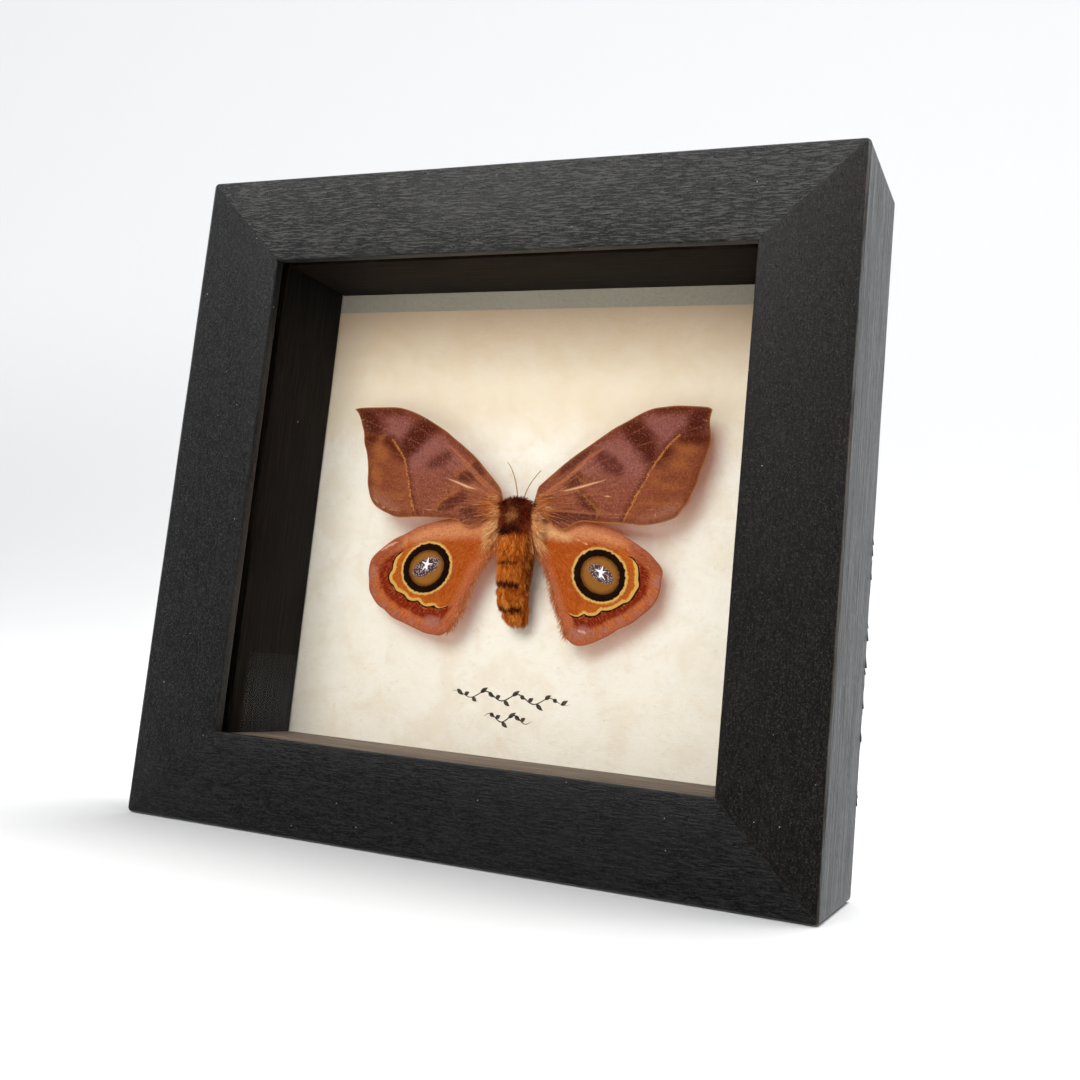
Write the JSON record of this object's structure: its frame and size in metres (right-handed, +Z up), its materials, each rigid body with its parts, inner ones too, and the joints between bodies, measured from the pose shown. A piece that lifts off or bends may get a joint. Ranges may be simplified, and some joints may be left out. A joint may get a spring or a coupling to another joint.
{
  "type": "framed silk moth specimen",
  "caption": "Spread silk moth with eyespots, mounted on a cream card in a deep, glazed, black wooden box frame.",
  "frame": {"origin": "middle of the part's underside, at the bottom of its bounding box", "axes": "+Z up, -Y the way the glass faces, +X to the viewer's right when looking at the glass"},
  "size_m": [0.14, 0.031, 0.1325],
  "materials": {
    "black_wood": "satin black paint on fine-grained wood",
    "spacer_wood": "dark brown-black stained wood",
    "glass": "clear picture glass",
    "parchment": "matt mottled cream parchment card",
    "fibre_board": "thin brown fibreboard",
    "steel": "zinc-plated steel",
    "thorax_fur": "dark maroon hair",
    "abdomen_fur": "orange-brown hair with dark bands",
    "forewing": "matt mauve-brown scales",
    "hindwing": "matt orange and pink-brown scales with an eyespot",
    "antenna": "dry tan horn"
  },
  "bodies": {
    "root": {"frame_top_rail": "black_wood", "frame_bottom_rail": "black_wood", "frame_left_stile": "black_wood", "frame_right_stile": "black_wood", "glass_pane": "glass", "spacer_left": "spacer_wood", "spacer_right": "spacer_wood", "spacer_top": "spacer_wood", "spacer_bottom": "spacer_wood", "card": "parchment", "backing_board": "fibre_board", "retaining_point_top_rail_1": "steel", "retaining_point_top_rail_2": "steel", "retaining_point_bottom_rail_1": "steel", "retaining_point_bottom_rail_2": "steel", "retaining_point_left_stile_1": "steel", "retaining_point_left_stile_2": "steel", "retaining_point_right_stile_1": "steel", "retaining_point_right_stile_2": "steel", "sawtooth_hanger": "steel", "hanger_nail_left": "steel", "hanger_nail_right": "steel", "moth_head": "thorax_fur", "moth_thorax": "thorax_fur", "moth_abdomen": "abdomen_fur", "moth_forewing_left": "forewing", "moth_forewing_right": "forewing", "moth_hindwing_left": "hindwing", "moth_hindwing_right": "hindwing", "moth_antenna_left": "antenna", "moth_antenna_right": "antenna", "mounting_pin": "steel"}
  },
  "joints": []
}
